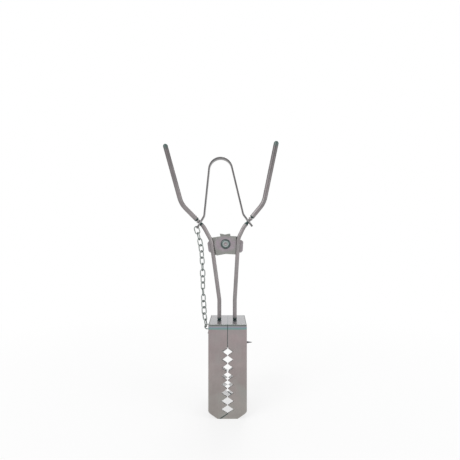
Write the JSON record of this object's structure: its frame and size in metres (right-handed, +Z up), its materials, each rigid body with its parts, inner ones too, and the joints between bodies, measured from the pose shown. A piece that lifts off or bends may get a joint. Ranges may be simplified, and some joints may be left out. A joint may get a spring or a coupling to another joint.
{
  "type": "mole trap",
  "caption": "Upright tong trap: two hinged round bars with a strip spring, toothed half-box jaws, an inner trigger and a chain.",
  "frame": {"origin": "middle of the whole trap's outline, on the plane that the jaws stand on", "axes": "+Z up along the trap from the jaws' feet to the handles, -Y is the front, +X is to the right seen from the front"},
  "size_m": [0.1284, 0.05, 0.2941],
  "materials": {
    "bar_steel": "satin grey round bar",
    "spring_steel": "dark tempered strip",
    "jaw_steel": "matt warm grey pressed sheet",
    "plate_steel": "satin stamped sheet",
    "rivet_steel": "bright headed rivet",
    "trigger_steel": "dark pressed sheet",
    "chain_steel": "zinc-plated wire"
  },
  "bodies": {
    "left_arm": {"left_rod": "bar_steel", "left_collar": "rivet_steel", "left_jaw": "jaw_steel", "rear_plate": "plate_steel", "pivot_rivet": "rivet_steel", "spring": "spring_steel", "chain_link_01": "chain_steel", "chain_link_17": "chain_steel"},
    "right_arm": {"right_rod": "bar_steel", "right_collar": "rivet_steel", "right_jaw": "jaw_steel", "front_plate": "plate_steel"},
    "trigger_lever": {"trigger": "trigger_steel"},
    "chain": {"chain_link_02": "chain_steel", "chain_link_03": "chain_steel", "chain_link_04": "chain_steel", "chain_link_05": "chain_steel", "chain_link_06": "chain_steel", "chain_link_07": "chain_steel", "chain_link_08": "chain_steel", "chain_link_09": "chain_steel", "chain_link_10": "chain_steel", "chain_link_11": "chain_steel", "chain_link_12": "chain_steel", "chain_link_13": "chain_steel", "chain_link_14": "chain_steel", "chain_link_15": "chain_steel", "chain_link_16": "chain_steel"}
  },
  "joints": [
    {"name": "jaw_opening", "type": "hinge", "parent": "left_arm", "child": "right_arm", "pos_m": [0.00538, 0, 0.1799], "axis": [0, -1, 0], "range_deg": [0, 18], "stiffness_Nm_per_rad": 3, "springref_deg": -22.92, "deforming": ["spring"]},
    {"name": "trigger_swing", "type": "hinge", "parent": "left_arm", "child": "trigger_lever", "pos_m": [-0.01147, 0, 0.083], "axis": [0, -1, 0], "range_deg": [0, 35]},
    {"name": "chain_sway", "type": "hinge", "parent": "left_arm", "child": "chain", "pos_m": [-0.01612, 0, 0.08929], "axis": [-0.0876, 0, 0.9962], "range_deg": [-15, 15]}
  ],
  "couplings": [
    {"joint": "trigger_swing", "follows": "jaw_opening", "ratio": 1.93}
  ]
}
